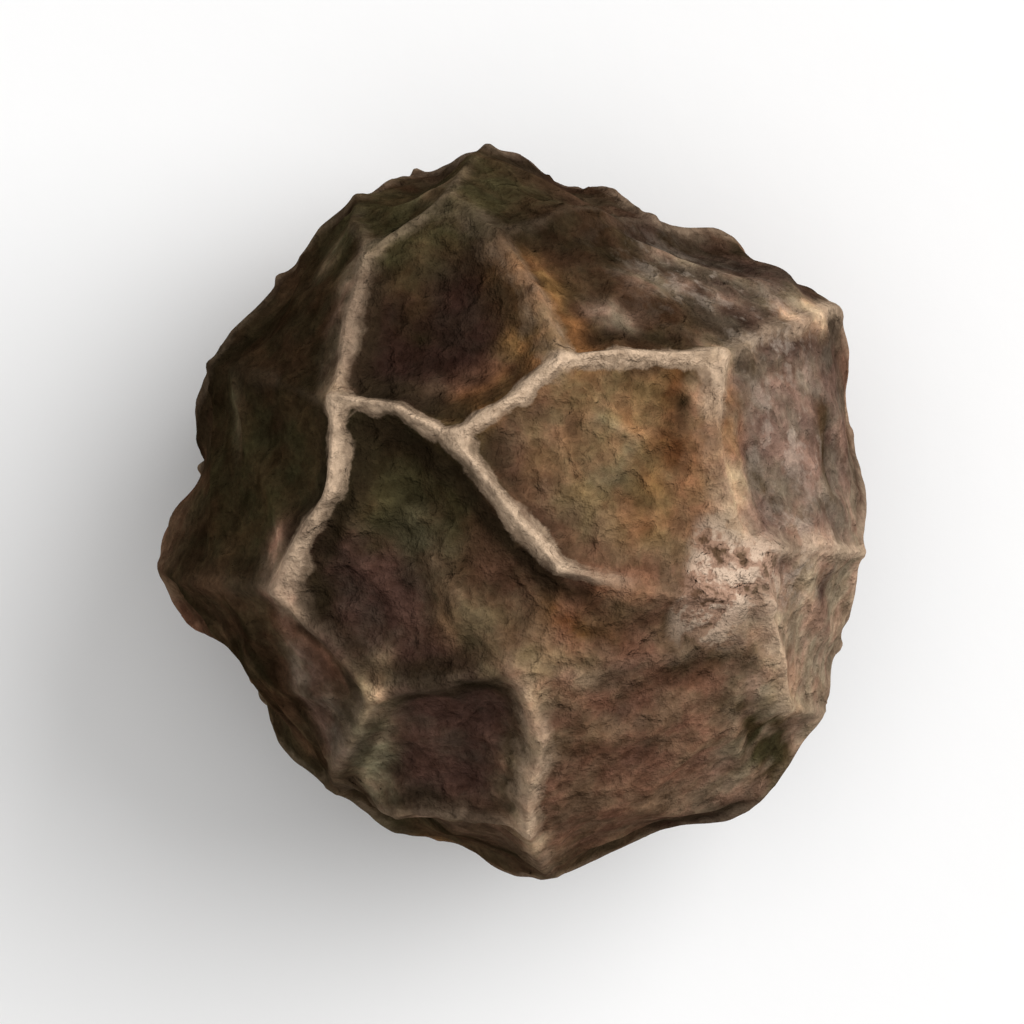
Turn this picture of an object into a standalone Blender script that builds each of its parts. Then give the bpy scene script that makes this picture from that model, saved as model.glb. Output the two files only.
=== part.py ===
"""A black peppercorn: one dried pepper berry, lying on a small flat spot.

The skin has shrunk onto the round seed inside. It stands up in a net of ridges and sinks into a basin
between them, so the outline is that of a many-sided ball. Run with blender --background --python part.py.

Lengths are in millimetres until the mesh is made in metres. +Z is up, and the origin is on the surface
that the peppercorn lies on, under the middle of its box.
"""

import math

import bmesh
import bpy
import numpy as np
from mathutils import Vector, noise

MM = 0.001

# Driving dimensions, in millimetres.
WIDTH = 4.82
LENGTH = 5.00
HEIGHT = 4.50
# A basin sinks this far below the ridges round it: part of it close to the ridge, the rest further out.
BASIN_DEPTH = 0.23
CREST_SHARE = 0.45
CREST_REACH = 0.10
SLOPE_REACH = 0.42
CREST_ROUNDING = 0.035
FLAT_SPOT_DEPTH = 0.08
# The scar where the stalk was is a low round rise, and this share of it is level.
SCAR_RADIUS = 0.42
SCAR_HEIGHT = 0.05
SCAR_LEVEL_SHARE = 0.5

# Squares along each side of the cube that the round mesh is spread from. Its points are drawn in
# towards the ridges that are nearer than this reach, so that small faces follow the crests.
GRID_SQUARES = 31
DRAW_REACH = 0.45
DRAW_POWER = 0.6
# How far, and over what length, the ridges wander from the straight way between two junctions.
WANDER = 0.07
WANDER_LENGTH = 0.65
# How softly the body's radius goes over from one junction's to the next, and one basin's depth into the
# next, as a distance on a ball of radius 1 and a power. Where ridges meet, the highest wins by a power.
JUNCTION_SOFTNESS = 0.14
JUNCTION_POWER = 2
BASIN_SOFTNESS = 0.10
BASIN_POWER = 3
MEETING_POWER = 6

SKIN_COLOUR = (0.075, 0.050, 0.034, 1.0)
SKIN_ROUGHNESS = 0.55

# The round body that the junctions lie on: half its width and length, and its height above and below the
# middle. Underneath it is flatter than a ball, by a power above 2.
HALF_WIDTH = 2.44
HALF_LENGTH = 2.53
HEIGHT_ABOVE = 2.36
HEIGHT_BELOW = 2.22
ROUNDNESS_ABOVE = 2.0
ROUNDNESS_BELOW = 2.3

# The net's junctions: X to the right and Y up the photograph, in millimetres from the middle. T is the
# side that shows, and U the underside. R is the outline and S a little below it, where the third value is
# the height above the middle.
TOP_JUNCTIONS = {
    "T1": (-1.17, 0.76),
    "T2": (-0.39, 0.47),
    "T3": (0.36, 1.00),
    "T4": (1.41, 1.06),
    "T5": (1.57, -0.17),
    "T6": (1.75, -0.62),
    "T7": (0.84, -0.48),
    "T8": (0.32, -0.36),
    "T9": (-1.20, 0.15),
    "T10": (-1.58, -0.50),
    "T11": (-0.98, 1.70),
    "T12": (-0.46, 2.14),
    "T13": (0.17, 1.48),
    "T14": (-0.08, 1.90),
    "T15": (-0.72, -0.10),
    "T16": (-0.36, -0.68),
    "T17": (0.04, -1.06),
    "T18": (0.56, -1.12),
    "T19": (0.12, -2.16),
    "T20": (-0.95, -1.25),
    "T21": (1.16, -1.00),
    "T22": (1.90, -1.30),
    "T23": (-0.78, 0.70),
    "T24": (0.23, -1.52),
    "T25": (1.37, 0.50),
    "T26": (-0.60, -2.08),
}
RIM_JUNCTIONS = {
    "R1": (2.42, -0.28, 0.35),
    "R2": (2.26, 1.36, 0.15),
    "R3": (0.98, 1.99, 0.40),
    "R4": (-0.12, 2.50, 0.10),
    "R5": (-1.05, 2.14, 0.30),
    "R6": (-2.08, 1.00, 0.35),
    "R7": (-2.42, -0.37, 0.05),
    "R8": (-1.22, -1.88, 0.25),
    "R9": (0.26, -2.49, 0.05),
    "R10": (1.74, -1.96, 0.05),
    "R11": (2.14, -1.41, 0.10),
    "S1": (2.37, 0.55, -0.45),
    "S2": (1.70, 1.70, -0.55),
    "S3": (0.45, 2.22, -0.50),
    "S4": (-0.65, 2.32, -0.60),
    "S5": (-1.62, 1.58, -0.12),
    "S6": (-2.12, 0.30, -0.60),
    "S7": (-1.78, -1.12, -0.50),
    "S8": (-0.50, -2.22, -0.60),
    "S9": (0.93, -2.20, -0.50),
    "S10": (2.27, -0.90, -0.30),
}
UNDER_JUNCTIONS = {
    "U1": (2.12, 0.40),
    "U2": (1.45, 1.00),
    "U3": (1.25, 1.65),
    "U4": (0.35, 2.12),
    "U5": (-0.20, 1.72),
    "U6": (-0.75, 2.00),
    "U7": (-1.55, 1.45),
    "U8": (-1.75, 0.55),
    "U9": (-2.08, -0.15),
    "U10": (-1.60, -0.80),
    "U11": (-1.62, -1.35),
    "U12": (-0.55, -2.05),
    "U13": (0.25, -1.70),
    "U14": (0.95, -1.95),
    "U15": (1.90, -0.95),
    "U16": (1.80, -0.15),
    "U17": (-1.15, 0.30),
    "U18": (-0.45, 1.05),
    "U19": (0.25, 0.85),
    "U20": (0.90, 0.55),
    "U21": (1.05, -0.30),
    "U22": (0.50, -1.00),
    "U23": (-0.10, -0.98),
    "U24": (-0.70, -0.85),
    "U25": (-1.00, -0.30),
    "U26": (0.00, 0.05),
}

# Each ridge is a chain of junctions, with how far it stands up at its first and at its last junction.
RIDGES = (
    ("T1 T23 T2 T3 T4", 1.0, 1.0),
    ("T2 T8 T7 T6", 1.0, 0.9),
    ("T4 T25 T5 T6", 0.9, 1.0),
    ("T3 T13 T14 T12", 0.9, 0.8),
    ("T12 T11 T1 T9 T10", 0.8, 1.0),
    ("T10 T20", 0.8, 0.8),
    ("T15 T16 T17", 0.2, 0.8),
    ("T20 T17", 0.8, 0.8),
    ("T17 T24 T19", 0.9, 0.9),
    ("R8 T26 T19", 0.7, 0.7),
    ("T17 T18 T7", 0.7, 0.5),
    ("T18 T21 T6", 0.5, 0.3),
    ("T6 T22 R11", 0.9, 0.9),
    ("T5 R1", 0.9, 0.9),
    ("T4 R2", 0.9, 1.0),
    ("T14 R3", 0.6, 0.8),
    ("T12 R4", 0.8, 0.9),
    ("T11 R5", 0.8, 0.9),
    ("T1 R6", 0.4, 0.8),
    ("T10 R7", 0.8, 1.0),
    ("T20 R8", 0.8, 0.9),
    ("T19 R9", 0.9, 1.0),
    ("R1 S1 R2 S2 R3 S3 R4 S4 R5 S5", 0.9, 0.8),
    ("S5 R6 S6 R7 S7 R8 S8 R9 S9 R10", 0.8, 1.0),
    ("R10 R11 S10 R1", 1.0, 0.8),
    ("S1 U1", 0.8, 0.8),
    ("S2 U3", 0.9, 0.8),
    ("S3 U4", 0.7, 0.9),
    ("S4 U6", 0.9, 0.8),
    ("S5 U7", 0.8, 0.7),
    ("S6 U9", 0.9, 1.0),
    ("S7 U11", 0.8, 0.9),
    ("S8 U12", 0.9, 0.7),
    ("S9 U14", 0.7, 0.9),
    ("S10 U15", 0.9, 0.9),
    ("U1 U2 U3 U4 U5 U6 U7 U8 U9", 0.8, 1.0),
    ("U9 U10 U11 U12 U13 U14 U15 U16 U1", 1.0, 0.8),
    ("U17 U18 U19 U20 U21 U22 U23 U24 U25 U17", 1.0, 1.0),
    ("U2 U20", 0.8, 1.0),
    ("U5 U18", 0.7, 0.9),
    ("U8 U17", 0.9, 1.0),
    ("U10 U24", 0.6, 0.9),
    ("U13 U23", 0.8, 0.9),
    ("U16 U21", 0.7, 1.0),
    ("U19 U26", 0.9, 0.6),
    ("U22 U26", 0.9, 0.6),
    ("U25 U26", 0.9, 0.6),
)

# Places in the basins, in millimetres from the middle, and how deep the skin sinks there against the
# basins' usual depth.
BASINS = (
    ((-0.50, 1.25, 1.95), 1.40),
    ((0.60, 0.35, 2.30), 0.70),
    ((0.80, 1.50, 1.60), 1.00),
    ((1.60, 1.55, 0.90), 0.70),
    ((-0.60, 0.10, 2.30), 1.50),
    ((-0.10, -0.35, 2.35), 1.30),
    ((-1.10, -0.60, 2.05), 1.35),
    ((-0.40, -1.50, 1.80), 1.50),
    ((0.60, -0.85, 2.10), 0.90),
    ((0.95, -1.60, 1.55), 0.80),
    ((2.00, 0.40, 1.20), 0.75),
    ((2.05, -0.95, 0.80), 0.80),
    ((-1.75, 0.35, 1.45), 1.20),
    ((-1.60, 1.20, 1.35), 1.10),
    ((-1.75, -1.10, 1.20), 1.00),
    ((-0.75, 1.95, 1.05), 0.90),
    ((2.00, 1.10, -0.90), 1.20),
    ((1.10, 2.05, -0.90), 0.90),
    ((-0.10, 2.30, -0.95), 1.30),
    ((-1.15, 2.00, -0.80), 1.00),
    ((-2.05, 1.00, -0.80), 1.30),
    ((-2.20, -0.50, -0.90), 0.90),
    ((-1.35, -1.85, -0.90), 1.20),
    ((0.20, -2.30, -0.90), 1.00),
    ((1.60, -1.65, -0.90), 1.30),
    ((2.30, -0.20, -0.90), 0.80),
    ((0.50, 1.45, -1.80), 1.30),
    ((-0.90, 1.30, -1.75), 0.90),
    ((-1.50, -0.10, -1.75), 1.20),
    ((-0.80, -1.40, -1.75), 0.90),
    ((1.10, -1.10, -1.80), 1.30),
    ((1.50, 0.40, -1.75), 1.00),
    ((-0.50, 0.45, -2.15), 1.20),
    ((0.55, 0.00, -2.20), 1.00),
    ((-0.30, -0.50, -2.20), 1.30),
)

SCAR_JUNCTIONS = ("T5", "T6")


def unit(vectors):
    """Vectors scaled to length 1."""
    return vectors / np.linalg.norm(vectors, axis=-1, keepdims=True)


def place_junctions():
    """Each junction's place, in millimetres from the middle of the berry."""
    places = {}
    above = TOP_JUNCTIONS, HEIGHT_ABOVE, ROUNDNESS_ABOVE
    below = UNDER_JUNCTIONS, -HEIGHT_BELOW, ROUNDNESS_BELOW
    for junctions, pole, roundness in (above, below):
        for name, (x, y) in junctions.items():
            out = math.hypot(x / HALF_WIDTH, y / HALF_LENGTH)
            z = pole * (1 - out**roundness) ** (1 / roundness)
            places[name] = np.array((x, y, z))
    for name, xyz in RIM_JUNCTIONS.items():
        places[name] = np.array(xyz)
    return places


PLACES = place_junctions()
MEAN_RADIUS = (WIDTH + LENGTH + HEIGHT) / 6


def ridge_stretches():
    """Each stretch between two junctions, as its two ends on the unit ball and its height at each end."""
    stretches = []
    for chain, first_height, last_height in RIDGES:
        names = chain.split()
        heights = np.linspace(first_height, last_height, len(names))
        for i in range(len(names) - 1):
            ends = unit(PLACES[names[i]]), unit(PLACES[names[i + 1]])
            stretches.append((*ends, heights[i], heights[i + 1]))
    return stretches


def ball_mesh(squares):
    """A ball spread from a cube, with squares of nearly one size, as a bmesh."""
    ball = bmesh.new()
    bmesh.ops.create_cube(ball, size=2.0)
    bmesh.ops.subdivide_edges(ball, edges=ball.edges[:], cuts=squares - 1, use_grid_fill=True)
    for vertex in ball.verts:
        vertex.co = Vector([math.tan(share * math.pi / 4) for share in vertex.co]).normalized()
    return ball


def nearest_on(stretch, points):
    """The point of a stretch of ridge nearest to each point on the unit ball, and its height there."""
    start, end, start_height, end_height = stretch
    along = end - start
    share = np.clip((points - start) @ along / (along @ along), 0, 1)
    nearest = unit(start + share[:, None] * along)
    return nearest, start_height + share * (end_height - start_height)


def drawn_in(points):
    """Points on the unit ball moved towards the nearest ridge, the nearer ones by a greater share."""
    nearest = np.zeros_like(points)
    least = np.full(len(points), np.inf)
    for stretch in ridge_stretches():
        there, _ = nearest_on(stretch, points)
        distance = np.linalg.norm(points - there, axis=1) * MEAN_RADIUS
        closer = distance < least
        least[closer] = distance[closer]
        nearest[closer] = there[closer]
    keep = np.minimum(1, least / DRAW_REACH) ** DRAW_POWER
    return unit(nearest + keep[:, None] * (points - nearest))


def smooth_noise(points, length, offset):
    """Noise from about -1 to 1 at each point in millimetres, with waves of about this length."""
    shift = Vector((offset, 2 * offset, 3 * offset))
    return np.array([noise.noise(Vector(point) / length + shift) for point in points])


def standing(points):
    """How far the skin stands up at each point: 1 on a full ridge's crest, falling to 0 in a basin."""
    total = np.zeros(len(points))
    for stretch in ridge_stretches():
        nearest, height = nearest_on(stretch, points)
        distance = np.linalg.norm(points - nearest, axis=1) * MEAN_RADIUS
        distance = np.sqrt(distance**2 + CREST_ROUNDING**2) - CREST_ROUNDING
        stand = CREST_SHARE * np.exp(-distance / CREST_REACH)
        stand += (1 - CREST_SHARE) * np.exp(-distance / SLOPE_REACH)
        total += (height * stand) ** MEETING_POWER
    return np.minimum(1, total ** (1 / MEETING_POWER))


def blend(points, places, values, softness, power):
    """At each point on the unit ball, a mean of the places' values that is led by the nearest places."""
    total = np.zeros(len(points))
    weights = np.zeros(len(points))
    for place, value in zip(places, values):
        apart = np.linalg.norm(points - unit(np.array(place)), axis=1)
        weight = 1 / (apart**2 + softness**2) ** power
        total += weight * value
        weights += weight
    return total / weights


def body_radius(directions):
    """The berry's own radius in each direction, through every junction of the net."""
    places = list(PLACES.values())
    radii = [np.linalg.norm(place) for place in places]
    return blend(directions, places, radii, JUNCTION_SOFTNESS, JUNCTION_POWER)


def basin_depth(points):
    """How deep a basin is at each point on the unit ball, in millimetres."""
    places, shares = zip(*BASINS)
    return BASIN_DEPTH * blend(points, places, shares, BASIN_SOFTNESS, BASIN_POWER)


def fade(distance, start, end):
    """0 up to start, 1 past end, and smooth between them."""
    share = np.clip((distance - start) / (end - start), 0, 1)
    return share * share * (3 - 2 * share)


def skin_points(points):
    """The berry's surface for points spread over the unit ball, in millimetres from its middle."""
    points = drawn_in(points)
    places = points * MEAN_RADIUS
    waves = [smooth_noise(places, WANDER_LENGTH, offset) for offset in (1, 2, 3)]
    directions = unit(places + WANDER * np.stack(waves, axis=1))

    scar = unit(sum(PLACES[name] for name in SCAR_JUNCTIONS))
    from_scar = np.linalg.norm(points - scar, axis=1) * MEAN_RADIUS
    relief = SCAR_HEIGHT * (1 - fade(from_scar, SCAR_LEVEL_SHARE * SCAR_RADIUS, SCAR_RADIUS))
    relief -= basin_depth(points) * (1 - standing(points))
    return directions * (body_radius(directions) + relief)[:, None]


def set_down(surface):
    """The surface at its driving sizes, cut flat underneath, with the origin under its box's middle."""
    surface[:, 2] = np.maximum(surface[:, 2], surface[:, 2].min() + FLAT_SPOT_DEPTH)
    low, high = surface.min(axis=0), surface.max(axis=0)
    surface = (surface - (low + high) / 2) * np.array((WIDTH, LENGTH, HEIGHT)) / (high - low)
    surface[:, 2] += HEIGHT / 2
    return surface


def skin_material():
    material = bpy.data.materials.new("peppercorn_skin")
    material.use_nodes = True
    shader = material.node_tree.nodes["Principled BSDF"]
    shader.inputs["Base Color"].default_value = SKIN_COLOUR
    shader.inputs["Roughness"].default_value = SKIN_ROUGHNESS
    shader.inputs["Metallic"].default_value = 0.0
    material.diffuse_color = SKIN_COLOUR
    return material


def split_along_crests(ball):
    """Each square cut in two along its diagonal that stands out further from the berry's middle."""
    middle = Vector((0, 0, HEIGHT * MM / 2))
    for face in ball.faces[:]:
        corners = face.verts[:]
        out = [(corner.co - middle).length for corner in corners]
        first = 0 if out[0] + out[2] > out[1] + out[3] else 1
        bmesh.utils.face_split(face, corners[first], corners[first + 2])


def build_peppercorn(collection):
    ball = ball_mesh(GRID_SQUARES)
    points = np.array([vertex.co for vertex in ball.verts])
    for vertex, place in zip(ball.verts, set_down(skin_points(points))):
        vertex.co = Vector(place) * MM
    split_along_crests(ball)
    mesh = bpy.data.meshes.new("peppercorn")
    ball.to_mesh(mesh)
    ball.free()
    mesh.shade_smooth()
    mesh.materials.append(skin_material())
    collection.objects.link(bpy.data.objects.new("peppercorn", mesh))


def main():
    for thing in list(bpy.data.objects):
        bpy.data.objects.remove(thing)
    parts = bpy.data.collections.new("black_peppercorn")
    bpy.context.scene.collection.children.link(parts)
    build_peppercorn(parts)


main()
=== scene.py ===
"""The looks of the black peppercorn: its wrinkled skin, on a sheet of white paper in soft light.

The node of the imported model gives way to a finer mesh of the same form, with the same round body and
net of ridges. It adds crisp crests, small wrinkles between the ridges, grain and the rough scar where the
stalk was. Lengths are in millimetres until the mesh is made in metres.
"""

import math

import bmesh
import bpy
import numpy as np
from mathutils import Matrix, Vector, noise


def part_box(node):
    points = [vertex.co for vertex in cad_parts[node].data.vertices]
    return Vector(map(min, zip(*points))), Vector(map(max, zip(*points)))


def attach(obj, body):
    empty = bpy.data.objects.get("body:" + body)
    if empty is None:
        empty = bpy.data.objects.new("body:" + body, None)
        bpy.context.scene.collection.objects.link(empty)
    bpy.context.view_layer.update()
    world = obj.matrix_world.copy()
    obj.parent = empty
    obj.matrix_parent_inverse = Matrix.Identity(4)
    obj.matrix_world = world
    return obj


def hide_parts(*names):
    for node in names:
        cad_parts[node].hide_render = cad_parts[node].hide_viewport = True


MM = 0.001

# The skin's form, as in the model that it stands for.
BASIN_DEPTH = 0.23
CREST_SHARE = 0.45
CREST_REACH = 0.10
SLOPE_REACH = 0.42
CREST_ROUNDING = 0.035
FLAT_SPOT_DEPTH = 0.08
SCAR_RADIUS = 0.42
SCAR_HEIGHT = 0.05
SCAR_LEVEL_SHARE = 0.5
DRAW_REACH = 0.45
DRAW_POWER = 0.6
WANDER = 0.07
WANDER_LENGTH = 0.65
JUNCTION_SOFTNESS = 0.14
JUNCTION_POWER = 2
BASIN_SOFTNESS = 0.10
BASIN_POWER = 3
MEETING_POWER = 6

# The finer skin's mesh has this many squares along each side of the cube that it is spread from.
GRID_SQUARES = 126

# Its small relief, as heights and the lengths of their waves. Ripples move the skin sideways. A bead of
# changing height runs along each crest, lower by a share where the crest is dark, and has a knot at each
# junction.
RIPPLE = 0.026
RIPPLE_LENGTH = 0.30
BEAD_HEIGHT = 0.062
BEAD_PALE_SHARE = 0.8
BEAD_CHANGE = 0.5
BEAD_CHANGE_LENGTH = 0.5
KNOT_HEIGHT = 0.016
KNOT_RADIUS = 0.12

# Spurs are small wrinkles that leave the ridges, and folds lie in the basins. They come and go between two
# levels of how far the skin stands up, which is 0 in the basins and 1 on the crests.
SPUR_HEIGHT = 0.050
SPUR_LENGTH = 0.55
SPUR_HALF_WIDTH = 0.045
SPUR_BEND = 0.25
SPUR_BEND_LENGTH = 0.6
SPUR_STAND = (0.20, 0.62)
FOLD_HEIGHT = 0.050
FOLD_LENGTH = 0.80
FOLD_SHARPNESS = 6.0
FOLD_STAND = (0.35, 0.75)

# All over, the skin is crumpled and grainy, and the scar is rougher.
CRUMPLE_HEIGHT = 0.022
CRUMPLE_LENGTH = 0.46
GRAIN_HEIGHT = 0.008
GRAIN_LENGTH = 0.12
SCAR_ROUGHNESS = 0.09
SCAR_GRAIN_LENGTH = 0.22

# The scar's pale flesh: its middle, X to the right and Y up the photograph, how far from there it is full
# and where it ends, and how much its edge goes in and out.
SCAR_MIDDLE = (1.51, -0.43)
SCAR_FADE = (0.16, 0.54)
SCAR_EDGE = 0.22
SCAR_EDGE_LENGTH = 0.35

# The pale crests: how much their width changes along them, in long swells and short nicks, and how much
# narrower they are, and how much of their paleness they lose in places, below the berry's widest part.
SWELL = 0.50
SWELL_LENGTH = 0.60
NICK = 0.35
NICK_LENGTH = 0.20
NARROWED_SHARE = 0.32
FADED_SHARE = 0.45
FADED_LENGTH = 0.85
FADED_NOISE = (-0.30, 0.30)
LOWER_PART = (-0.05, 0.20)

# The broad strokes of colour wave, and are stronger and weaker, over the first length, and they are broken
# into small flakes of the second one.
STROKE_WAVE = 0.05
STROKE_WAVE_LENGTH = 0.30
STROKE_BREAK = 0.50
STROKE_FLAKE = 1.00
STROKE_FLAKE_LENGTH = 0.14

# The fine colouring, in waves of these lengths, and the heights of the finest bumps.
MOTTLE_LENGTH = 0.42
FINE_LENGTH = 0.11
HUE_LENGTH = 0.30
DRY_LENGTH = 0.24
FLECK_LENGTH = 0.24
RAGGED_LENGTH = 0.16
WRINKLE_LENGTH = 0.30
WRINKLE_BUMP = 0.080
LEATHER_LENGTH = 0.30
LEATHER_WIDTH_SHARE = 0.30
LEATHER_BUMP = 0.022
SPECK_LENGTH = 0.050
SPECK_BUMP = 0.030
PIT_LENGTH = 0.16
PIT_BUMP = 0.12

# Each effect grows while its noise or mark goes from the first value to the second. Its strength goes from
# the third value to the fourth, or from 0 to 1 where only two are given.
MOTTLE_LIGHT = (0.42, 0.68, 0.0, 0.65)
FINE_DARK = (0.60, 0.38, 0.0, 0.55)
# The painted shade in the wrinkles that the bump makes.
WRINKLE_SHADE = (0.48, 0.36, 0.0, 0.60)
HUE_CHANGE = (0.36, 0.64)
# The next three place the painted shade at the foot of a ridge in a deep basin.
FOOT_SHADE_BOTTOM = (0.36, 0.50)
FOOT_SHADE_TOP = (0.85, 0.66)
FOOT_SHADE_DEEP = (0.85, 1.40, 0.0, 0.70)
DRY_PART = (0.34, 0.56, 0.45, 1.0)
FLECK_PART = (0.48, 0.60, 0.0, 0.45)
RAGGED_EDGE = (0.32, 0.68, -0.15, 0.15)
CREST_SIDES = (0.30, 0.52)
CREST_TOP = (0.56, 0.86)
SPECK_LIGHT = (0.50, 0.66, 0.0, 0.30)
SPECK_DARK = (0.50, 0.34, 0.0, 0.35)
PINK_FLESH = (0.36, 0.45)
CREAM_FLESH = (0.47, 0.56)
CREST_ROUGHNESS = (0.1, 0.8, 0.62, 0.78)
FINE_ROUGHNESS = (0.3, 0.7, -0.08, 0.10)

# The strength of the effects that have no range, and how fast a crest's paleness falls where it is less
# pale. The last value keeps a division from zero.
# The first two light the crests of small wrinkles: partly paler dry skin, partly a painted highlight.
LEATHER_PALE_AND_HIGHLIGHT = 0.40
SPUR_PALE_AND_HIGHLIGHT = 0.45
FLESH_COVER = 0.92
PALENESS_POWER = 1.4
LEAST_LINE = 0.01

# The round body that the junctions lie on: half its width and length, and its height above and below the
# middle. Underneath it is flatter than a ball, by a power above 2.
HALF_WIDTH = 2.44
HALF_LENGTH = 2.53
HEIGHT_ABOVE = 2.36
HEIGHT_BELOW = 2.22
ROUNDNESS_ABOVE = 2.0
ROUNDNESS_BELOW = 2.3

# The net's junctions: X to the right and Y up the photograph, in millimetres from the middle. T is the
# side that shows, and U the underside. R is the outline and S a little below it, where the third value is
# the height above the middle.
TOP_JUNCTIONS = {
    "T1": (-1.17, 0.76),
    "T2": (-0.39, 0.47),
    "T3": (0.36, 1.00),
    "T4": (1.41, 1.06),
    "T5": (1.57, -0.17),
    "T6": (1.75, -0.62),
    "T7": (0.84, -0.48),
    "T8": (0.32, -0.36),
    "T9": (-1.20, 0.15),
    "T10": (-1.58, -0.50),
    "T11": (-0.98, 1.70),
    "T12": (-0.46, 2.14),
    "T13": (0.17, 1.48),
    "T14": (-0.08, 1.90),
    "T15": (-0.72, -0.10),
    "T16": (-0.36, -0.68),
    "T17": (0.04, -1.06),
    "T18": (0.56, -1.12),
    "T19": (0.12, -2.16),
    "T20": (-0.95, -1.25),
    "T21": (1.16, -1.00),
    "T22": (1.90, -1.30),
    "T23": (-0.78, 0.70),
    "T24": (0.23, -1.52),
    "T25": (1.37, 0.50),
    "T26": (-0.60, -2.08),
}
RIM_JUNCTIONS = {
    "R1": (2.42, -0.28, 0.35),
    "R2": (2.26, 1.36, 0.15),
    "R3": (0.98, 1.99, 0.40),
    "R4": (-0.12, 2.50, 0.10),
    "R5": (-1.05, 2.14, 0.30),
    "R6": (-2.08, 1.00, 0.35),
    "R7": (-2.42, -0.37, 0.05),
    "R8": (-1.22, -1.88, 0.25),
    "R9": (0.26, -2.49, 0.05),
    "R10": (1.74, -1.96, 0.05),
    "R11": (2.14, -1.41, 0.10),
    "S1": (2.37, 0.55, -0.45),
    "S2": (1.70, 1.70, -0.55),
    "S3": (0.45, 2.22, -0.50),
    "S4": (-0.65, 2.32, -0.60),
    "S5": (-1.62, 1.58, -0.12),
    "S6": (-2.12, 0.30, -0.60),
    "S7": (-1.78, -1.12, -0.50),
    "S8": (-0.50, -2.22, -0.60),
    "S9": (0.93, -2.20, -0.50),
    "S10": (2.27, -0.90, -0.30),
}
UNDER_JUNCTIONS = {
    "U1": (2.12, 0.40),
    "U2": (1.45, 1.00),
    "U3": (1.25, 1.65),
    "U4": (0.35, 2.12),
    "U5": (-0.20, 1.72),
    "U6": (-0.75, 2.00),
    "U7": (-1.55, 1.45),
    "U8": (-1.75, 0.55),
    "U9": (-2.08, -0.15),
    "U10": (-1.60, -0.80),
    "U11": (-1.62, -1.35),
    "U12": (-0.55, -2.05),
    "U13": (0.25, -1.70),
    "U14": (0.95, -1.95),
    "U15": (1.90, -0.95),
    "U16": (1.80, -0.15),
    "U17": (-1.15, 0.30),
    "U18": (-0.45, 1.05),
    "U19": (0.25, 0.85),
    "U20": (0.90, 0.55),
    "U21": (1.05, -0.30),
    "U22": (0.50, -1.00),
    "U23": (-0.10, -0.98),
    "U24": (-0.70, -0.85),
    "U25": (-1.00, -0.30),
    "U26": (0.00, 0.05),
}

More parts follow.
